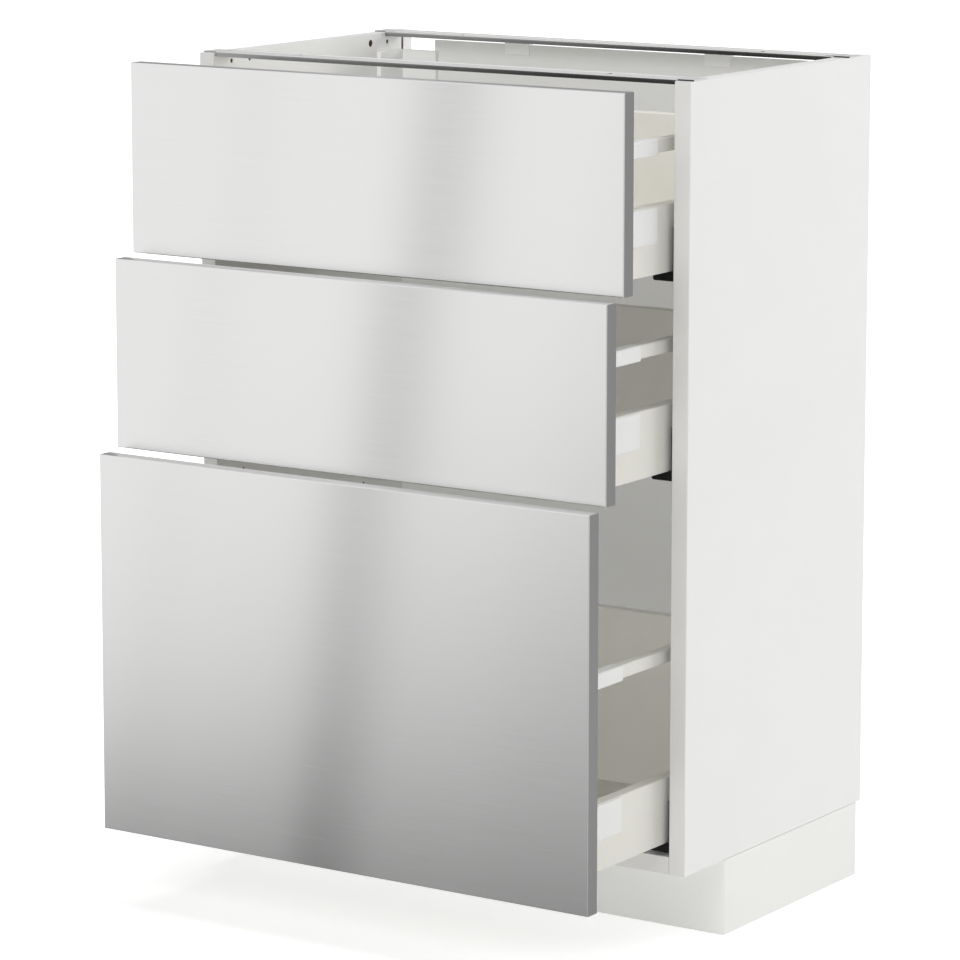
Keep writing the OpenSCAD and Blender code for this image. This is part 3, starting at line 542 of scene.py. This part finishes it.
def runner_screws():
    """Two screws in each runner's wall flange."""
    low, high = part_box("cabinet_runners")
    first_turn, turn_step = RUNNER_TURNS
    front_inset, rear_inset = RUNNER_HOLE_INSETS
    for drawer in DRAWERS:
        runner_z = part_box(drawer + "_slider_runners")[0][2] - RUNNER_DROP
        for side, label in SIDES.items():
            seat = side * (high[0] - RUNNER_SHEET)
            heads = []
            for y in (low[1] + front_inset, high[1] - rear_inset):
                place = (seat, y, runner_z + RUNNER_HOLE_RISE)
                heads.append(screw_head(place, (-side, 0, 0), first_turn + turn_step * y))
            piece(f"{drawer}_{label}_runner_screws", *joined(heads), "carcass", "dark_zinc")


def socket_screws():
    """Four screws through the flange of each leg socket."""
    first_turn, turn_x, turn_y = SOCKET_TURNS
    for foot in FEET:
        low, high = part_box("foot_" + foot)
        middle = (low + high) / 2
        seat_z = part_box("bottom_panel")[0][2] - SOCKET_FLANGE
        heads = []
        for dx in (-SOCKET_HOLE, SOCKET_HOLE):
            for dy in (-SOCKET_HOLE, SOCKET_HOLE):
                place = (middle[0] + dx, middle[1] + dy, seat_z)
                heads.append(screw_head(place, (0, 0, -1), first_turn + turn_x * dx + turn_y * dy))
        piece(f"{foot}_socket_screws", *joined(heads), "carcass", "dark_zinc")


def thread_rings(top):
    """Rings of the foot's coarse thread, which fades out at both ends."""
    end = top - THREAD_END_INSET
    rings = []
    for k in range(THREAD_RINGS + 1):
        height = THREAD_START + (end - THREAD_START) * k / THREAD_RINGS
        ends = min(1, k / THREAD_FADE_RINGS, (THREAD_RINGS - k) / THREAD_FADE_RINGS)

        def radius(angle, z=height, fade=ends):
            tooth = abs(((z / THREAD_PITCH - angle / (2 * math.pi)) % 1) - 0.5) * 4 - 0.5
            return STEM_RADIUS - THREAD_DEPTH * fade * min(1, max(0, tooth))

        rings.append((height, radius))
    return rings


def threaded_feet():
    """Feet with a grip round the disc and a coarse thread on the hollow stem."""
    for foot in FEET:
        low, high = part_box("foot_" + foot)
        middle = (low + high) / 2
        top = high[2]
        disc_r = (high[0] - low[0]) / 2

        def grip(angle):
            return disc_r - GRIP_DEPTH * max(0, math.cos(GRIP_TEETH * angle)) ** 2

        rings = [(0.0, CENTRE_RADIUS)]
        rings += [(height, disc_r - inset) for height, inset in DISC_FOOT]
        rings += [(height, grip) for height in GRIP_HEIGHTS]
        rings += [(DISC_HEIGHT + height, disc_r - inset) for height, inset in DISC_TOP]
        rings += [(DISC_HEIGHT + height, STEM_RADIUS + flare) for height, flare in STEM_ROOT]
        rings += thread_rings(top)
        rings += [(top - STEM_CHAMFER, STEM_RADIUS), (top, STEM_RADIUS - STEM_CHAMFER),
                  (top, BORE_RADIUS + BORE_CHAMFER), (top - BORE_CHAMFER, BORE_RADIUS),
                  (BORE_FLOOR, BORE_RADIUS), (BORE_FLOOR, CENTRE_RADIUS)]
        body = f"foot_{foot}_body"
        thing = piece(f"threaded_foot_{foot}", *lathe(middle, rings, FOOT_SEGMENTS), body, "black_plastic")
        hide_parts("foot_" + foot)


def moved(place, step):
    return (place[0] + step[0], place[1] + step[1])


def front_hems():
    """Edges of the steel skin folded flat on the back of each front, mitred at the corners."""
    for drawer in DRAWERS:
        low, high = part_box(drawer + "_front_skin")
        x0, x1 = low[0] + SKIN_SHEET, high[0] - SKIN_SHEET
        z0, z1 = low[2] + SKIN_SHEET, high[2] - SKIN_SHEET
        corners = [(x0, z0), (x1, z0), (x1, z1), (x0, z1)]
        centre = ((x0 + x1) / 2, (z0 + z1) / 2)
        inner = [tuple(at - math.copysign(HEM_WIDTH, at - middle) for at, middle in zip(corner, centre))
                 for corner in corners]
        parts = []
        for k in range(4):
            m = (k + 1) % 4
            edge = Vector((corners[m][0] - corners[k][0], corners[m][1] - corners[k][1]))
            along = edge.normalized() * HEM_MITRE
            shape = [moved(corners[k], along), moved(corners[m], -along),
                     moved(inner[m], -along), moved(inner[k], along)]
            points = [(x, high[1] + dy, z) for dy in (0, HEM_HEIGHT) for x, z in shape]
            parts.append((points, SLAB_FACES))
        piece(drawer + "_front_hems", *joined(parts), drawer + "_drawer", "stainless")


def camera():
    """The photograph's viewing angle: from the front right, a little above the top."""
    data = bpy.data.cameras.new("camera")
    data.lens = CAMERA_LENS
    data.shift_x, data.shift_y = CAMERA_SHIFT
    seat = bpy.data.objects.new("camera", data)
    seat.location = CAMERA_PLACE
    seat.rotation_euler = (math.radians(90 - CAMERA_DIP), 0, CAMERA_AZIMUTH)
    bpy.context.scene.collection.objects.link(seat)
    bpy.context.scene.camera = seat


def lamp(name, place, aim_height, size, watts, shadow):
    data = bpy.data.lights.new(name, "AREA")
    data.use_shadow = shadow
    data.shape = "RECTANGLE"
    data.size = size
    data.size_y = size
    data.energy = watts
    seat = bpy.data.objects.new(name, data)
    seat.location = place
    way = Vector((0, 0, aim_height)) - Vector(place)
    seat.rotation_euler = way.to_track_quat("-Z", "Y").to_euler()
    seat.visible_glossy = False
    bpy.context.scene.collection.objects.link(seat)


def mirrored_light(t):
    """Brightness that the steel fronts mirror at a place on the floor or the card, as soft upright bands."""
    centre = t.add("VectorMath", t.place, FRONT_CENTRE, operation="SUBTRACT").outputs[0]
    out = t.dot(centre, MIRROR_WAY)
    widening = t.math("MULTIPLY_ADD", out, 1 / CAMERA_DISTANCE, 1.0)
    across = t.math("DIVIDE", t.dot(centre, MIRROR_SIDE), widening)
    seen = t.math("MULTIPLY_ADD", across, 1 / FRONT_SEEN_WIDTH, 0.5)
    height = t.axis(2)
    bands = t.ramp(t.math("SUBTRACT", seen, t.math("MULTIPLY", height, BAND_SLANT)), BANDS)
    slope = t.math("MULTIPLY", t.spread(height, *MIRROR_LOW), t.spread(out, *MIRROR_SLOPE))
    fall = t.math("MULTIPLY", t.spread(seen, *MIRROR_TILT), slope)
    beside = t.spread(t.math("ABSOLUTE", t.math("SUBTRACT", seen, 0.5)), *MIRROR_BESIDE)
    return t.math("MULTIPLY", t.math("MULTIPLY", bands, beside), t.math("ADD", fall, 1.0))


def plane(name, corners, material):
    mesh = bpy.data.meshes.new(name)
    mesh.from_pydata(corners, [], [tuple(range(len(corners)))])
    material.cycles.emission_sampling = "NONE"
    mesh.materials.append(material)
    thing = bpy.data.objects.new(name, mesh)
    bpy.context.scene.collection.objects.link(thing)
    return thing


def surroundings():
    """White to the camera, dim to the surfaces, and darker at the rear in what the steel mirrors."""
    world = bpy.data.worlds.new("studio")
    world.use_nodes = True
    bpy.context.scene.world = world
    t = Nodes(world.node_tree)
    rays = t.add("LightPath").outputs
    way = t.add("SeparateXYZ", t.add("TexCoord").outputs["Generated"]).outputs[1]
    level = t.choose(rays["Is Glossy Ray"], WORLD_LEVEL, t.spread(way, *WORLD_REAR))
    for kind in ("Camera", "Transmission"):
        level = t.choose(rays[f"Is {kind} Ray"], level, 1.0)
    t.put(t.tree.nodes["Background"].inputs["Color"], level)


def pale_floor():
    """White floor that keeps the shadow, and holds the light that the fronts mirror."""
    t = Tree("pale_floor", roughness=1.0, specular_ior_level=0.0, emission_color=(1, 1, 1, 1))
    t.colour(t.tones(t.noise(scale=3), "pale_floor"))
    rays = t.add("LightPath").outputs
    away = t.math("SQRT", t.math("ADD", t.math("POWER", t.axis(0), 2), t.math("POWER", t.axis(1), 2)))
    bounce = t.math("MULTIPLY", rays["Is Diffuse Ray"], FLOOR_BOUNCE)
    shown = t.math("MULTIPLY_ADD", rays["Is Camera Ray"], t.spread(away, *FLOOR_SHOWN), bounce)
    t.shade("Emission Strength", shown)
    level = t.math("MULTIPLY", t.spread(away, *FLOOR_NEAR), t.spread(t.axis(1), *FLOOR_BEHIND))
    mirrored = t.add("Emission", t.math("MULTIPLY", level, mirrored_light(t))).outputs[0]
    t.surface(t.add("MixShader", rays["Is Glossy Ray"], t.shader.outputs[0], mirrored).outputs[0])
    corners = [(x * FLOOR_REACH, y * FLOOR_REACH, 0) for x, y in ((-1, -1), (1, -1), (1, 1), (-1, 1))]
    plane("floor", corners, t.material)


def mirror_card():
    """Upright card before the cabinet that only the steel's reflections see, soft at its edges."""
    t = Tree("mirror_card")
    level = t.math("MULTIPLY", mirrored_light(t), t.spread(t.axis(2), *CARD_GRADE))
    lit = t.add("Emission", level).outputs[0]
    middle = -FRONT_CENTRE[1] * math.sin(CAMERA_AZIMUTH)
    edge = t.math("ABSOLUTE", t.math("SUBTRACT", t.dot(t.place, MIRROR_SIDE), middle))
    shown = t.math("MULTIPLY", t.spread(edge, *CARD_SIDES), t.spread(t.axis(2), *CARD_TOP))
    clear = t.add("BsdfTransparent").outputs[0]
    t.surface(t.add("MixShader", shown, clear, lit).outputs[0])
    foot = Vector(FRONT_CENTRE) + CARD_DISTANCE * Vector(MIRROR_WAY)
    left = foot - CARD_HALF_WIDTH * Vector(MIRROR_SIDE)
    right = foot + CARD_HALF_WIDTH * Vector(MIRROR_SIDE)
    rise = Vector((0, 0, CARD_HEIGHT))
    card = plane("mirror_card", [left, right, right + rise, left + rise], t.material)
    for kind in ("camera", "diffuse", "shadow", "transmission", "volume_scatter"):
        setattr(card, f"visible_{kind}", False)


def studio():
    """Surroundings, floor, card and lamps."""
    surroundings()
    pale_floor()
    mirror_card()
    for name, settings in LAMPS.items():
        lamp(name, *settings)


camera()
studio()
runner_screws()
socket_screws()
threaded_feet()
front_hems()
bpy.context.scene.view_settings.view_transform = "Standard"
